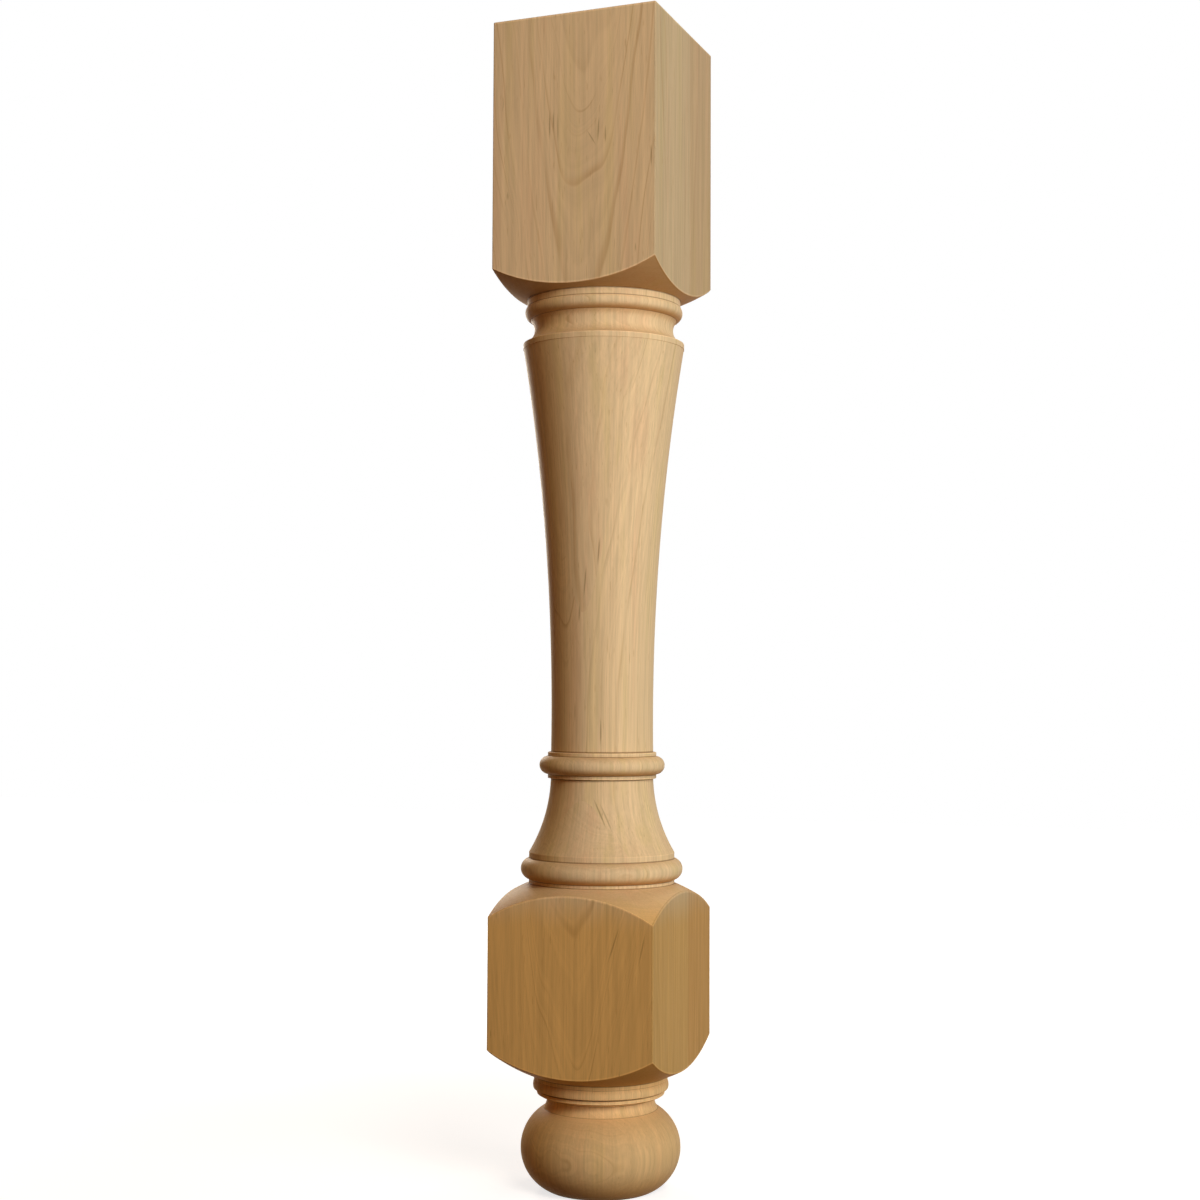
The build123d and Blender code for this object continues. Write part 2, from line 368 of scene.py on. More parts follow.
class HalfSection:
    """The leg's half section in one direction from its axis, built from the top end down to the sole."""

    def __init__(self, height):
        self.here = (0.0, height)
        self.cuts = []

    def follow(self, cut, steps, ease):
        """Add a cut, the number of steps that its mesh gets, and the easing of the corner before it."""
        self.cuts.append((cut, steps, ease))
        self.here = tuple(cut.end)

    def straight(self, radius, down=0.0, steps=1, ease=0.0):
        """Straight cut to another radius, so far down."""
        self.follow(Straight(self.here, (radius, self.here[1] - down)), steps, ease)

    def round(self, radius, down, rise, steps, ease):
        """Round cut whose middle stands out of its chord by rise."""
        self.follow(Round(self.here, (radius, self.here[1] - down), rise), steps, ease)

    def section(self, radius, down, section, steps, ease, hollow=False):
        """Round cut of a given section radius, standing out, or hollow."""
        end = (radius, self.here[1] - down)
        self.follow(Round.of_section(self.here, end, section, hollow), steps, ease)

    def trims(self):
        """How far each cut stops short of its corners, and how sharply each corner stands out or in."""
        before = np.zeros(len(self.cuts))
        after = np.zeros(len(self.cuts))
        turns = np.zeros(len(self.cuts))
        for i in range(1, len(self.cuts)):
            incoming, outgoing = self.cuts[i - 1][0], self.cuts[i][0]
            arriving = np.diff(incoming.at([0.999, 1.0]), axis=0)[0]
            leaving = np.diff(outgoing.at([0.0, 0.001]), axis=0)[0]
            arriving, leaving = arriving / np.linalg.norm(arriving), leaving / np.linalg.norm(leaving)
            half_turn = math.acos(max(-1.0, min(1.0, arriving @ leaving))) / 2
            shorter = min(incoming.length, outgoing.length)
            trim = min(self.cuts[i][2] * math.tan(half_turn), MOST_EASED * shorter)
            after[i - 1] = before[i] = max(trim, LEAST_EASED)
            sharpness = arriving[1] * leaving[0] - arriving[0] * leaving[1]
            strength = shorter / EDGE_REACH if sharpness > 0 else shorter / FAINT_STEP - 1
            turns[i] = sharpness * min(1.0, max(0.0, strength))
        return before, after, turns

    def points(self):
        """Points of the section with every corner eased, and with each how far it stands out at an edge."""
        before, after, turns = self.trims()
        found = []
        along = np.linspace(0.0, 1.0, POINTS_PER_EASED_CORNER + 2)[1:-1, None]
        for i, (cut, steps, _) in enumerate(self.cuts):
            first, last = before[i] / cut.length, 1 - after[i] / cut.length
            shares = np.linspace(first, last, steps + 1)
            reach = min(EDGE_REACH / cut.length, MOST_REACHED * (shares[1] - shares[0]))
            shares = np.sort(np.append(shares, (first + reach, last - reach)))
            new = np.column_stack([cut.at(shares), np.zeros(len(shares))])
            new[0, 2] = turns[i]
            new[-1, 2] = turns[i + 1] if i + 1 < len(turns) else 0.0
            if found:
                there, corner = found[-1][-1], np.array([*cut.start, turns[i]])
                back = 1 - along
                found.append(back**2 * there + 2 * along * back * corner + along**2 * new[0])
            found.append(new)
        return np.concatenate(found)


def corner_radius(leg):
    """Half diagonal of the blank."""
    return leg.stock / math.sqrt(2)


def ball_half_length(leg, radius):
    """Height of a point of the ball's section above or below its widest circle."""
    return math.sqrt(leg.ball_section**2 - (radius - leg.ball_radius + leg.ball_section) ** 2)


def shaft_length(leg):
    """What the other members leave of the height."""
    over = leg.top_square + leg.top_shoulder + leg.collar_fillet + leg.quarter_bead + leg.cove + leg.land
    ring = 2 * leg.ring_fillet + leg.ring_bead
    bell = leg.bell + leg.lip + leg.base_bead + leg.base_fillet
    square = leg.upper_shoulder + leg.lower_square + leg.lower_shoulder
    ankle = leg.ankle_fillet + leg.ankle_bead + leg.ankle_ring + leg.neck
    ball = ball_half_length(leg, leg.sole_radius) + ball_half_length(leg, leg.neck_bottom)
    return leg.height - over - ring - bell - square - ankle - ball


def cut_top_square(half, leg, side):
    """Top end, flat face down to the shoulder's cut line, and the shoulder in to the collar."""
    half.straight(side, steps=END_STEPS)
    foot = leg.height - leg.top_square
    end = (leg.collar_radius, foot - leg.top_shoulder)
    shoulder = Round.of_section((corner_radius(leg), foot), end, leg.top_section)
    shoulder.first = shoulder.angle_at(side)
    half.follow(Straight(half.here, shoulder.start), FACE_STEPS, leg.square_ease)
    half.follow(shoulder, SHOULDER_STEPS, leg.square_ease)


def cut_collar(half, leg):
    """Fillet, quarter bead, cove and land under the top square."""
    half.straight(leg.collar_radius, leg.collar_fillet, FILLET_STEPS, leg.tool_ease)
    half.straight(leg.quarter_bead_radius, ease=leg.tool_ease)
    half.section(
        leg.cove_top, leg.quarter_bead, leg.quarter_bead_section, QUARTER_BEAD_STEPS, leg.turned_ease
    )
    half.section(leg.cove_bottom, leg.cove, leg.cove_section, COVE_STEPS, leg.tool_ease, hollow=True)
    half.straight(leg.land_radius, ease=leg.turned_ease)
    half.straight(leg.land_radius, leg.land, FILLET_STEPS, leg.turned_ease)


def cut_shaft(half, leg):
    """One hollow curve through the waist, upright where it is narrowest."""
    total = shaft_length(leg)
    above = total - leg.waist_above_ring
    swell = leg.shaft_top - leg.waist
    section = (above**2 + swell**2) / (2 * swell)
    end_radius = leg.waist + section - math.sqrt(section**2 - leg.waist_above_ring**2)
    half.straight(leg.shaft_top, ease=leg.turned_ease)
    half.section(end_radius, total, section, SHAFT_STEPS, leg.tool_ease, hollow=True)


def cut_ring(half, leg):
    """Half bead between two fillets, at the foot of the shaft."""
    half.straight(leg.ring_fillet_radius, ease=leg.tool_ease)
    half.straight(leg.ring_fillet_radius, leg.ring_fillet, FILLET_STEPS, leg.turned_ease)
    bead_rise = leg.ring_bead_radius - leg.ring_fillet_radius
    half.round(leg.ring_fillet_radius, leg.ring_bead, bead_rise, BEAD_STEPS, leg.tool_ease)
    half.straight(leg.ring_fillet_radius, leg.ring_fillet, FILLET_STEPS, leg.tool_ease)


def cut_bell(half, leg):
    """Hollow flare, its upright lip, and the half bead and fillet under it."""
    half.straight(leg.bell_top, ease=leg.turned_ease)
    half.round(leg.bell_bottom, leg.bell, -leg.bell_sag, BELL_STEPS, leg.tool_ease)
    half.straight(leg.bell_bottom, leg.lip, FILLET_STEPS, leg.turned_ease)
    bead_rise = leg.base_bead_radius - leg.bell_bottom
    half.round(leg.bell_bottom, leg.base_bead, bead_rise, BEAD_STEPS, leg.tool_ease)
    half.straight(leg.bell_bottom, leg.base_fillet, FILLET_STEPS, leg.tool_ease)


def cut_lower_square(half, leg, side):
    """Shoulder over the corners, flat face, and the shoulder under them."""
    top = half.here[1] - leg.upper_shoulder
    upper = Round.of_section(half.here, (corner_radius(leg), top), leg.upper_section)
    upper.last = upper.angle_at(side)
    half.follow(upper, SHOULDER_STEPS, leg.tool_ease)
    foot = top - leg.lower_square
    end = (leg.ankle_fillet_radius, foot - leg.lower_shoulder)
    lower = Round.of_section((corner_radius(leg), foot), end, leg.lower_section)
    lower.first = lower.angle_at(side)
    half.follow(Straight(half.here, lower.start), FACE_STEPS, leg.square_ease)
    half.follow(lower, SHOULDER_STEPS, leg.square_ease)


def cut_ankle(half, leg):
    """Fillet, bead with a quirk and a fine ring in its lower flank, ring, and short hollow neck."""
    half.straight(leg.ankle_fillet_radius, leg.ankle_fillet, FILLET_STEPS, leg.tool_ease)
    half.straight(leg.ankle_bead_top, ease=leg.turned_ease)
    bead_rise = leg.ankle_bead_radius - (leg.ankle_bead_top + leg.ankle_bead_bottom) / 2
    foot = half.here[1] - leg.ankle_bead
    bead = Round(half.here, (leg.ankle_bead_bottom, foot), bead_rise)
    bead.last = math.asin((foot + leg.quirk_height - bead.centre[1]) / bead.section)
    half.follow(bead, BEAD_STEPS, leg.tool_ease)
    half.straight(leg.quirk_radius, leg.quirk / 2, ease=leg.turned_ease)
    half.straight(leg.fine_ring_radius, leg.quirk / 2, ease=leg.turned_ease)
    half.straight(leg.fine_ring_radius, leg.fine_ring, FILLET_STEPS, leg.turned_ease)
    half.straight(leg.ankle_bead_bottom, half.here[1] - foot, ease=leg.turned_ease)
    half.straight(leg.ankle_ring_radius, ease=leg.turned_ease)
    half.straight(leg.ankle_ring_radius, leg.ankle_ring, FILLET_STEPS, leg.tool_ease)
    half.straight(leg.neck_top, ease=leg.turned_ease)
    half.round(leg.neck_bottom, leg.neck, -leg.neck_sag, NECK_STEPS, leg.tool_ease)


def cut_ball(half, leg):
    """Ball of one round section, cut off flat at the sole."""
    end = (leg.sole_radius, 0.0)
    centre = (leg.ball_radius - leg.ball_section, ball_half_length(leg, leg.sole_radius))
    ball = Round.of_section(half.here, end, leg.ball_section)
    ball.centre = np.array(centre)
    ball.first = math.atan2(half.here[1] - centre[1], half.here[0] - centre[0])
    ball.last = math.atan2(end[1] - centre[1], end[0] - centre[0])
    half.follow(ball, BALL_STEPS, leg.tool_ease)
    half.straight(0.0, steps=END_STEPS, ease=leg.turned_ease)


def half_section(leg, side):
    """Section points in a direction in which the blank's face is side away from the axis."""
    half = HalfSection(leg.height)
    cut_top_square(half, leg, side)
    cut_collar(half, leg)
    cut_shaft(half, leg)
    cut_ring(half, leg)
    cut_bell(half, leg)
    cut_lower_square(half, leg, side)
    cut_ankle(half, leg)
    cut_ball(half, leg)
    return half.points()


def blank_outline(leg):
    """Directions round the leg and how far the blank reaches in each, with its long edges rounded."""
    flat = leg.stock / 2
    arris_centre = flat - leg.arris
    first = math.atan2(-arris_centre, flat)
    face = [(a, flat / math.cos(a)) for a in np.linspace(first, -first, COLUMNS_PER_FACE)]
    turns = np.linspace(0.0, math.pi / 2, COLUMNS_PER_ARRIS + 2)[1:-1]
    for turn in turns:
        x = arris_centre + leg.arris * math.cos(turn)
        y = arris_centre + leg.arris * math.sin(turn)
        face.append((math.atan2(y, x), math.hypot(x, y)))
    return [(a + quarter * math.pi / 2, side) for quarter in range(4) for a, side in face]


def leg_mesh(leg):
    """The whole leg as one closed mesh, its rows following every cut line."""
    columns = []
    edges = []
    for angle, side in blank_outline(leg):
        # The first and the last point lie on the axis and are the same for all columns
        radius, height, edge = half_section(leg, side)[1:-1].T
        edges.append(edge)
        columns.append(np.stack([radius * math.cos(angle), radius * math.sin(angle), height], axis=1))
    rows = len(columns[0])
    count = len(columns)
    points = np.concatenate(columns + [[[0.0, 0.0, leg.height]], [[0.0, 0.0, 0.0]]])
    faces = []
    for column in range(count):
        here, there = column * rows, (column + 1) % count * rows
        faces.append((count * rows, here, there))
        faces += [(here + r, here + r + 1, there + r + 1, there + r) for r in range(rows - 1)]
        faces.append((count * rows + 1, there + rows - 1, here + rows - 1))
    mesh = bpy.data.meshes.new("turned_leg")
    mesh.from_pydata(points.tolist(), [], faces)
    mesh.shade_smooth()
    edge_marks = mesh.attributes.new("edge", "FLOAT", "POINT")
    edge_marks.data.foreach_set("value", np.concatenate(edges + [[0.0, 0.0]]))
    return mesh


def wood_places(tree, finish):
    """Places in the leg in millimetres, the same shifted from board to board, and which board they are in.

    The blank is glued up from three boards, each from another part of the tree.
    """
    coordinates = add(tree, "TexCoord")
    place = add(tree, "VectorMath", {0: coordinates.outputs["Object"], "Scale": 1 / MM}, operation="SCALE")
    depth = add(tree, "SeparateXYZ", {0: place}).outputs["Y"]
    front_face = -BLANK_WIDTH / 2 / MM
    front_seam = front_face + finish.front_seam / MM
    back_seam = front_face + finish.back_seam / MM
    past_front = add(tree, "Math", {0: depth, 1: front_seam}, operation="GREATER_THAN")
    past_back = add(tree, "Math", {0: depth, 1: back_seam}, operation="GREATER_THAN")
    board = add(tree, "Math", {0: past_front, 1: past_back}, operation="ADD")
    shift = add(tree, "VectorMath", {0: BOARD_SHIFT, "Scale": board}, operation="SCALE")
    shifted = add(tree, "VectorMath", {0: place, 1: shift}, operation="ADD")
    return coordinates, place, shifted, board, past_front, past_back


def stretched_noise(tree, place, across, along, detail=2.0, roughness=0.5):
    """Noise whose grains are so many millimetres wide across the fibres and long along them."""
    squeeze = (1 / across, 1 / across, 1 / along)
    squeezed = add(tree, "VectorMath", {0: place, 1: squeeze}, operation="MULTIPLY")
    grain = {"Vector": squeezed, "Scale": 1.0, "Detail": detail, "Roughness": roughness}
    return add(tree, "TexNoise", grain)


def growth_years(tree, finish, places):
    """Age of the wood at each place, in years of growth out from the board's pith, and where it grew."""
    _, place, shifted, _, past_front, past_back = places
    pith = add(tree, "VectorMath", {0: SECOND_PITH_CHANGE, "Scale": past_front}, operation="SCALE")
    pith = add(tree, "VectorMath", {0: pith, 1: FIRST_PITH}, operation="ADD")
    back = add(tree, "VectorMath", {0: THIRD_PITH_CHANGE, "Scale": past_back}, operation="SCALE")
    pith = add(tree, "VectorMath", {0: pith, 1: back}, operation="ADD")
    taper = add(tree, "SeparateXYZ", {0: pith}).outputs["Z"]

    # The fibres wander by some millimetres over a hand's width, and ripple a little in between
    wander = stretched_noise(tree, shifted, 85, 420, 2.0, 0.3).outputs["Color"]
    middle = -(WANDER + RIPPLE) / 2
    sway = {0: wander, 1: (WANDER, WANDER, 0.0), 2: (middle, middle, 0.0)}
    wander = add(tree, "VectorMath", sway, operation="MULTIPLY_ADD")
    ripple = stretched_noise(tree, shifted, 26, 110, 1.0).outputs["Color"]
    sway = {0: ripple, 1: (RIPPLE, RIPPLE, 0.0), 2: wander}
    wander = add(tree, "VectorMath", sway, operation="MULTIPLY_ADD")
    grown = add(tree, "VectorMath", {0: place, 1: wander}, operation="ADD")

    # Years are counted across the rings, and their widths are uneven
    from_pith = add(tree, "VectorMath", {0: grown, 1: pith}, operation="SUBTRACT")
    from_pith = add(tree, "VectorMath", {0: from_pith, 1: (1.0, 1.0, 0.0)}, operation="MULTIPLY")
    radius = add(tree, "VectorMath", {0: from_pith}, operation="LENGTH").outputs["Value"]
    height = add(tree, "SeparateXYZ", {0: place}).outputs["Z"]
    lean = add(tree, "Math", {0: height, 1: taper}, operation="MULTIPLY")
    radius = add(tree, "Math", {0: radius, 1: lean}, operation="SUBTRACT")
    years = add(tree, "Math", {0: radius, 1: MM / finish.ring_spacing}, operation="MULTIPLY")
    uneven = add(tree, "TexNoise", {"W": years, "Scale": 0.4, "Detail": 1.0}, noise_dimensions="1D")
    return add(tree, "Math", {0: uneven, 1: UNEVEN_YEARS, 2: years}, operation="MULTIPLY_ADD"), grown


def growth_lines(tree, years, shifted, board):
    """Thin line at the end of each year, strong in some years and places and faint in others."""
    season = add(tree, "Math", {0: years}, operation="FRACT")
    rise = add(tree, "MapRange", {0: season, 1: LINE_STARTS, 2: LINE_DARKEST}, **EASED)
    fall = add(tree, "MapRange", {0: season, 1: LINE_DARKEST, 2: 1.0, 3: 1.0, 4: 0.0}, **EASED)
    line = add(tree, "Math", {0: rise, 1: fall}, operation="MULTIPLY")
    year = add(tree, "Math", {0: years}, operation="FLOOR")
    year = add(tree, "Math", {0: board, 1: YEARS_BETWEEN_BOARDS, 2: year}, operation="MULTIPLY_ADD")
    year = add(tree, "TexWhiteNoise", {"W": year}, noise_dimensions="1D")
    strength = add(tree, "MapRange", {0: year, 1: 0.1, 2: 1.0, 3: 0.1, 4: 0.42}, **EASED)
    patch = stretched_noise(tree, shifted, 24, 110)
    patch = add(tree, "MapRange", {0: patch, 1: 0.36, 2: 0.66, 3: 0.1, 4: 1.0}, **EASED)
    line = add(tree, "Math", {0: line, 1: strength}, operation="MULTIPLY")
    return add(tree, "Math", {0: line, 1: patch}, operation="MULTIPLY")


def mineral_streak(tree, place, across, height, length_mm, width, lean, depth):
    """One thin streak on the front of the leg, as FRONT_STREAKS lists them."""
    offset = add(tree, "VectorMath", {0: place, 1: (across, 0.0, height)}, operation="SUBTRACT")
    aslant = (2 / width, 0.0, -2 * lean / width)
    sideways = add(tree, "VectorMath", {0: offset, 1: aslant}, operation="DOT_PRODUCT")
    upward = add(tree, "VectorMath", {0: offset, 1: (0.0, 0.0, 2 / length_mm)}, operation="DOT_PRODUCT")
    behind = add(tree, "VectorMath", {0: place, 1: (0.0, 1 / STREAK_FADE, 0.0)}, operation="DOT_PRODUCT")
    behind = add(tree, "Math", {0: behind.outputs["Value"], 1: 0.0}, operation="MAXIMUM")
    shape = {"X": sideways.outputs["Value"], "Y": behind, "Z": upward.outputs["Value"]}
    away = add(tree, "VectorMath", {0: add(tree, "CombineXYZ", shape)}, operation="LENGTH")
    return add(tree, "MapRange", {0: away.outputs["Value"], 1: 1.0, 2: 0.3, 4: depth}, **EASED)


def sanded_maple(finish):
    """Hard maple, planed square, turned and sanded, left bare.

    The eye gets a pale close-grained wood with thin brown growth lines, arched on the front face and
    straight on the sides, a deeper tone where the fibres are cut across, and a soft broad shine.
    """
    # Over the wood's own colours lie painted shade on the undersides, the left side, the face at +X and the
    # inner corners, and painted light on the sharp edges and the ankle
    material = bpy.data.materials.new("sanded_bare_maple")
    material.use_nodes = True
    tree = material.node_tree
    tree.nodes.clear()
    places = wood_places(tree, finish)
    coordinates, place, shifted, board, past_front, past_back = places
    years, grown = growth_years(tree, finish, places)

    # Broad streaks of pinker and greener wood
    streaks = stretched_noise(tree, shifted, 15, 280, 3.0, 0.6)
    pinker = add(tree, "MapRange", {0: streaks, 1: 0.5, 2: 0.7, 4: 0.5}, **EASED)
    streaked = {0: pinker, UNDER: (*finish.earlywood, 1), OVER: (*finish.rosy, 1)}
    wood = add(tree, "Mix", streaked, data_type="RGBA")
    greener = add(tree, "MapRange", {0: streaks, 1: 0.48, 2: 0.3, 4: 0.5}, **EASED)
    wood = add(tree, "Mix", {0: greener, UNDER: wood, OVER: (*finish.olive, 1)}, data_type="RGBA")

    # The blank is warmer in tone towards the floor, most of all in the lower square
    height = add(tree, "SeparateXYZ", {0: place}).outputs["Z"]
    drift = stretched_noise(tree, shifted, 40, 60)
    drift = add(tree, "Math", {0: drift, 1: TONE_DRIFT, 2: height}, operation="MULTIPLY_ADD")
    warmth = add(tree, "MapRange", {0: drift, 1: AMBER_STARTS, 2: AMBER_FULL}, **EASED)
    waning = add(tree, "MapRange", {0: drift, 1: AMBER_WANES, 2: AMBER_HALF, 3: 1.0, 4: 0.5}, **EASED)
    warmth = add(tree, "Math", {0: warmth, 1: waning}, operation="MULTIPLY")
    wood = add(tree, "Mix", {0: warmth, UNDER: wood, OVER: (*finish.amber, 1)}, data_type="RGBA")

    # Painted light: from the lower square down the wood is made paler, in place of light under the lower
    # square's shade, and the ball is made deeper in tone again
    ankle = add(tree, "MapRange", {0: height, 1: ANKLE_LIGHT_STARTS, 2: ANKLE_LIGHT_FULL, 3: 1.0, 4: 1.25}, **EASED)
    wood = add(tree, "VectorMath", {0: wood, "Scale": ankle}, operation="SCALE")
    ball = add(tree, "MapRange", {0: height, 1: BALL_STARTS, 2: BALL_DEEPEST, 3: 1.0, 4: 0.75}, **EASED)
    wood = add(tree, "VectorMath", {0: wood, "Scale": ball}, operation="SCALE")

    # Each year's wood has its own tone, and so has each fibre. Real fibres are a few hundredths of a
    # millimetre wide, and they are drawn here as bundles of 1.5 mm so that they show.
    uneven = {"W": years, "Scale": 2.3, "Detail": 3.0, "Roughness": 0.7}
    year_tone = add(tree, "TexNoise", uneven, noise_dimensions="1D")
    year_tone = add(tree, "MapRange", {0: year_tone, 1: 0.25, 2: 0.75, 3: 0.955, 4: 1.04}, **EASED)
    fibres = stretched_noise(tree, grown, 1.5, 70, 2.0, 0.7)
    fibre_tone = add(tree, "MapRange", {0: fibres, 1: 0.28, 2: 0.72, 3: 0.94, 4: 1.04}, **EASED)
    tone = add(tree, "Math", {0: year_tone, 1: fibre_tone}, operation="MULTIPLY")

    # Long even stripes that keep to the leg's own taper, and fade out on the square ends
    radial = add(tree, "VectorMath", {0: place, 1: (1.0, 1.0, 0.0)}, operation="MULTIPLY")
    radial = add(tree, "VectorMath", {0: radial}, operation="NORMALIZE")
    upward = add(tree, "VectorMath", {0: place, 1: (0.0, 0.0, 1 / STRIPE_LENGTH)}, operation="MULTIPLY")
    fine = (STRIPES_ROUND, STRIPES_ROUND, 0.0)
    radial = add(tree, "VectorMath", {0: radial, 1: fine, 2: upward}, operation="MULTIPLY_ADD")
    stripes = add(tree, "TexNoise", {"Vector": radial, "Scale": 1.0, "Detail": 2.0, "Roughness": 0.7})
    stripe_tone = add(tree, "MapRange", {0: stripes, 1: 0.3, 2: 0.7, 3: 0.93, 4: 1.06}, **EASED)
    facing = add(tree, "SeparateXYZ", {0: coordinates.outputs["Normal"]})
    tilt = add(tree, "Math", {0: facing.outputs["Z"]}, operation="ABSOLUTE")
    striped = add(tree, "MapRange", {0: tilt, 1: 0.95, 2: 0.5}, **EASED)
    stripe_tone = add(tree, "Math", {0: stripe_tone, 1: striped}, operation="POWER")
    tone = add(tree, "Math", {0: tone, 1: stripe_tone}, operation="MULTIPLY")
    wood = add(tree, "VectorMath", {0: wood, "Scale": tone}, operation="SCALE")

    # Painted shade: the face to the right, at +X, is made duller than the others
    sideways = add(tree, "SeparateXYZ", {0: place}).outputs["X"]
    face = BLANK_WIDTH / 2 / MM
    right_face_painted_shade = {0: sideways, 1: face - 1.5, 2: face - 0.5, 3: 1.0, 4: 0.71}
    right_face_painted_shade = add(tree, "MapRange", right_face_painted_shade, **EASED)
    wood = add(tree, "VectorMath", {0: wood, "Scale": right_face_painted_shade}, operation="SCALE")

    # The second board is a little paler than the first, and the third is redder and deeper
    second = add(tree, "MapRange", {0: past_front, 1: 0, 2: 1, 3: 1.0, 4: 1.03}, **EASED)
    wood = add(tree, "VectorMath", {0: wood, "Scale": second}, operation="SCALE")
    third = add(tree, "VectorMath", {0: wood, 1: (0.96, 0.9, 0.86)}, operation="MULTIPLY")
    wood = add(tree, "Mix", {0: past_back, UNDER: wood, OVER: third}, data_type="RGBA")

    # Painted shade: round the left side the wood is made more golden and deeper
    left_side_painted_shade = add(tree, "MapRange", {0: facing.outputs["X"], 1: 0.1, 2: -0.7}, **EASED)
    painted_shade_golden = add(tree, "VectorMath", {0: wood, 1: (1.0, 0.9, 0.64)}, operation="MULTIPLY")
    wood = add(tree, "Mix", {0: left_side_painted_shade, UNDER: wood, OVER: painted_shade_golden}, data_type="RGBA")

    # The growth lines are faint where the shoulders cut them at a slant, and show again on the square ends
    slanting = add(tree, "MapRange", {0: tilt, 1: 0.1, 2: 0.5, 3: 1.0, 4: 0.25}, **EASED)
    flat = add(tree, "MapRange", {0: tilt, 1: 0.97, 2: 0.99, 4: 0.8}, **EASED)
    shown = add(tree, "Math", {0: slanting, 1: flat}, operation="MAXIMUM")
    lines = growth_lines(tree, years, shifted, board)
    lines = add(tree, "Math", {0: lines, 1: shown}, operation="MULTIPLY")
    wood = add(tree, "Mix", {0: lines, UNDER: wood, OVER: (*finish.latewood, 1)}, data_type="RGBA")

    # Pores and flecks: short dark dashes along the grain. Real ones are too fine to show, so they are
    # drawn at 1.1 mm by 14 mm.
    flecks = stretched_noise(tree, grown, 1.1, 14, 1.0)
    flecks = add(tree, "MapRange", {0: flecks, 1: 0.66, 2: 0.78, 4: 0.25}, **EASED)
    wood = add(tree, "Mix", {0: flecks, UNDER: wood, OVER: (*finish.latewood, 1)}, data_type="RGBA")

    # A few mineral streaks, most of them on the front of the top square and of the shaft
    minerals = stretched_noise(tree, shifted, 4, 36)
    minerals = add(tree, "MapRange", {0: minerals, 1: 0.74, 2: 0.82, 4: 0.5}, **EASED)
    for streak in FRONT_STREAKS:
        drawn = mineral_streak(tree, place, *streak)
        minerals = add(tree, "Math", {0: minerals, 1: drawn}, operation="MAXIMUM")
    wood = add(tree, "Mix", {0: minerals, UNDER: wood, OVER: (*finish.mineral, 1)}, data_type="RGBA")

    # Fibres cut across soak up light and look deeper in tone; on faces turned down this is made much
    # stronger, as painted shade
    down = add(tree, "MapRange", {0: facing.outputs["Z"], 1: -0.15, 2: -0.95, 4: 0.65}, **EASED)
    up = add(tree, "MapRange", {0: facing.outputs["Z"], 1: 0.15, 2: 0.95, 4: 0.22}, **EASED)
    cut_fibres_and_underside_shade = add(tree, "Math", {0: down, 1: up}, operation="ADD")
    wood = add(tree, "Mix", {0: cut_fibres_and_underside_shade, UNDER: wood, OVER: (*finish.cut_fibre_tone_and_shade, 1)}, data_type="RGBA")

    # Painted shade: the inner corners between the members, where shade falls, are darkened into thin dark
    # lines
    corners = add(tree, "AmbientOcclusion", {"Distance": 3 * MM}, samples=8)
    painted_corner_shade = add(tree, "MapRange", {0: corners.outputs["AO"], 1: 0.6, 2: 0.2, 4: 0.35}, **EASED)
    edge = add(tree, "Attribute", attribute_name="edge").outputs["Fac"]
    corner_shade_line = add(tree, "MapRange", {0: edge, 1: -0.08, 2: -0.6, 4: 0.6}, **EASED)
    painted_corner_shade = add(tree, "Math", {0: painted_corner_shade, 1: corner_shade_line}, operation="MAXIMUM")
    wood = add(tree, "Mix", {0: painted_corner_shade, UNDER: wood, OVER: (*finish.painted_corner_shade, 1)}, data_type="RGBA")

    # Painted highlight: the sharp edges are made paler, as if they caught the light
    edge_painted_highlight = add(tree, "MapRange", {0: edge, 1: 0.15, 2: 0.8, 3: 1.0, 4: 1.22}, **EASED)
    wood = add(tree, "VectorMath", {0: wood, "Scale": edge_painted_highlight}, operation="SCALE")

    # Sanded wood is satin: smoother on the dense fibres, rougher in the pores. Its specular level is set well
    # below real bare wood's, because the white floor and room would turn the shaded side grey.
    satin = add(tree, "MapRange", {0: fibres, 1: 0.3, 2: 0.7, 3: 0.6, 4: 0.5}, **EASED)
    bump = add(tree, "Bump", {"Height": fibres, "Strength": 0.3, "Distance": 0.06 * MM})
    bump = add(tree, "Bump", {"Height": lines, "Strength": 0.5, "Distance": 0.05 * MM, "Normal": bump})
    gloss = {"Roughness": satin, "Normal": bump, "IOR": 1.5, "Specular IOR Level": 0.04}
    shader = add(tree, "BsdfPrincipled", {"Base Color": wood, **gloss})
    add(tree, "OutputMaterial", {"Surface": shader})
    return material


def seen_straight(tree):
    """One for the camera's own rays and for those that glossy and clear surfaces send on, else nothing."""
    path = add(tree, "LightPath").outputs
    seen = add(tree, "Math", {0: path["Is Camera Ray"], 1: path["Is Glossy Ray"]}, operation="MAXIMUM")
    return add(tree, "Math", {0: seen, 1: path["Is Transmission Ray"]}, operation="MAXIMUM")


def pale_floor(studio):
    """Matt pale floor. Seen straight it glows to white, but less near the foot, where its shadow shows."""
    material = bpy.data.materials.new("pale_studio_floor")
    material.use_nodes = True
    tree = material.node_tree
    tree.nodes.clear()
    place = add(tree, "TexCoord").outputs["Object"]
    away = add(tree, "VectorMath", {0: place}, operation="LENGTH").outputs["Value"]
    glow = add(tree, "MapRange", {0: away, 1: 0.3, 2: 1.1, 3: 0.74, 4: 1.0}, **EASED)
    matt = add(tree, "BsdfDiffuse", {"Color": (*studio.floor, 1)})
    glowing = add(tree, "Emission", {"Color": (1, 1, 1, 1), "Strength": glow})
    lifted = add(tree, "AddShader", {0: matt, 1: glowing})
    bounce = add(tree, "BsdfDiffuse", {"Color": (*studio.bounce, 1)})
    both = add(tree, "MixShader", {0: seen_straight(tree), 1: bounce, 2: lifted})
    add(tree, "OutputMaterial", {"Surface": both})
    return material


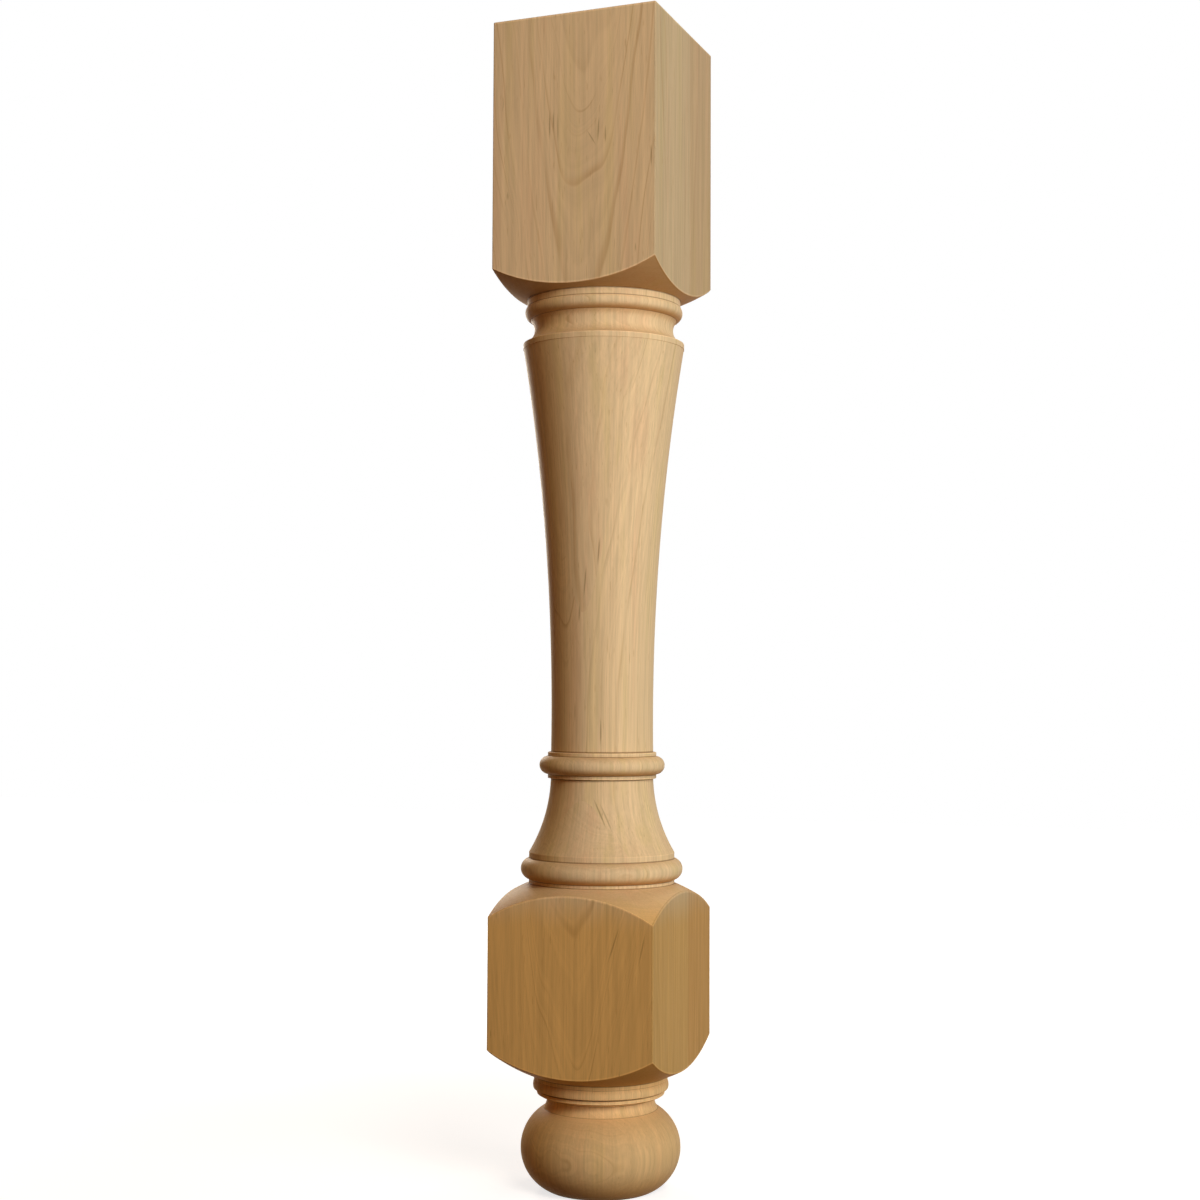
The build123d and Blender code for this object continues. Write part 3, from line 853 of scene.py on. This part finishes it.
def studio_world(studio):
    """Dim warm room light, and white where the camera looks past the floor."""
    world = bpy.data.worlds.new("studio_room")
    world.use_nodes = True
    tree = world.node_tree
    tree.nodes.clear()
    room = add(tree, "Background", {"Color": (*studio.room, 1), "Strength": ROOM_STRENGTH})
    white = add(tree, "Background", {"Color": (1, 1, 1, 1), "Strength": 1.0})
    both = add(tree, "MixShader", {0: seen_straight(tree), 1: room, 2: white})
    add(tree, "OutputWorld", {"Surface": both})
    bpy.context.scene.world = world


def softbox(name, azimuth, height, size, watts, hex_colour):
    """One square soft lamp that looks at the leg, so many degrees to the right of the camera."""
    data = bpy.data.lights.new(name, "AREA")
    data.shape = "SQUARE"
    data.size = size
    data.energy = watts
    data.color = linear(hex_colour)
    lamp = bpy.data.objects.new(name, data)
    # The front face looks along -Y, at -90 degrees
    angle = math.radians(CAMERA_AZIMUTH + azimuth - 90)
    place = Vector((LAMP_DISTANCE * math.cos(angle), LAMP_DISTANCE * math.sin(angle), height))
    lamp.location = place
    lamp.rotation_euler = (Vector(LAMP_AIM) - place).to_track_quat("-Z", "Y").to_euler()
    bpy.context.scene.collection.objects.link(lamp)


def swung(first, second, degrees):
    """Two axes at right angles, swung by an angle from the first towards the second."""
    angle = math.radians(degrees)
    return (
        first * math.cos(angle) + second * math.sin(angle),
        second * math.cos(angle) - first * math.sin(angle),
    )


def place_camera(studio):
    """Camera at the photograph's angle: to the right of the front face, level with the lower shaft."""
    azimuth = math.radians(CAMERA_AZIMUTH)
    ahead = Vector((-math.sin(azimuth), math.cos(azimuth), 0.0))
    right = Vector((math.cos(azimuth), math.sin(azimuth), 0.0))
    place = -ahead * studio.camera_distance + Vector((0.0, 0.0, studio.camera_height))
    ahead, right = swung(ahead, right, CAMERA_YAW)
    ahead, up = swung(ahead, Vector((0.0, 0.0, 1.0)), CAMERA_PITCH)
    right, up = swung(right, up, CAMERA_ROLL)
    data = bpy.data.cameras.new("studio_camera")
    data.sensor_fit = "HORIZONTAL"
    data.sensor_width = SENSOR_WIDTH
    data.lens = LENS
    camera = bpy.data.objects.new("studio_camera", data)
    turn = Matrix((right, up, -ahead)).transposed()
    camera.matrix_world = Matrix.Translation(place) @ turn.to_4x4()
    bpy.context.scene.collection.objects.link(camera)
    bpy.context.scene.camera = camera


class LEG_OT_build(bpy.types.Operator):
    """Turn the maple leg"""

    bl_idname = "island_leg.build"
    bl_label = "Turn the leg"

    def execute(self, context):
        mesh = leg_mesh(context.scene.leg_sizes)
        leg = bpy.data.objects.new("maple_leg", mesh)
        context.scene.collection.objects.link(leg)
        mesh.materials.append(sanded_maple(context.scene.maple_finish))
        leg.modifiers.new("even_shading", "WEIGHTED_NORMAL")
        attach(leg, "root")
        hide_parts("island_leg")
        return {"FINISHED"}


class LEG_OT_stage(bpy.types.Operator):
    """Set up the pale floor, the soft lamps and the camera"""

    bl_idname = "island_leg.stage"
    bl_label = "Set the studio"

    def execute(self, context):
        studio = context.scene.studio_look
        half = studio.floor_size / 2
        mesh = bpy.data.meshes.new("floor")
        corners = [(-half, -half, 0), (half, -half, 0), (half, half, 0), (-half, half, 0)]
        mesh.from_pydata(corners, [], [(0, 1, 2, 3)])
        floor = bpy.data.objects.new("floor", mesh)
        context.scene.collection.objects.link(floor)
        mesh.materials.append(pale_floor(studio))
        studio_world(studio)
        for lamp in LAMPS:
            softbox(*lamp)
        place_camera(studio)
        context.scene.view_settings.view_transform = "Standard"
        return {"FINISHED"}


class LEG_PT_panel(bpy.types.Panel):
    """Lists the leg and the studio in the sidebar"""

    bl_idname = "LEG_PT_panel"
    bl_label = "Island leg"
    bl_space_type = "VIEW_3D"
    bl_region_type = "UI"
    bl_category = "Island leg"

    def draw(self, context):
        layout = self.layout
        groups = (context.scene.leg_sizes, context.scene.maple_finish, context.scene.studio_look)
        for group in groups:
            box = layout.box()
            for name in group.__annotations__:
                box.prop(group, name)
        layout.operator(LEG_OT_build.bl_idname)
        layout.operator(LEG_OT_stage.bl_idname)


CLASSES = (LegSizes, MapleFinish, StudioLook, LEG_OT_build, LEG_OT_stage, LEG_PT_panel)


def register():
    """Add the classes and the scene's settings."""
    for cls in CLASSES:
        bpy.utils.register_class(cls)
    bpy.types.Scene.leg_sizes = PointerProperty(type=LegSizes)
    bpy.types.Scene.maple_finish = PointerProperty(type=MapleFinish)
    bpy.types.Scene.studio_look = PointerProperty(type=StudioLook)


def unregister():
    """Take the settings and the classes away again."""
    del bpy.types.Scene.studio_look
    del bpy.types.Scene.maple_finish
    del bpy.types.Scene.leg_sizes
    for cls in reversed(CLASSES):
        bpy.utils.unregister_class(cls)


def main():
    """Build everything."""
    register()
    bpy.ops.island_leg.build()
    bpy.ops.island_leg.stage()


if __name__ == "__main__":
    main()
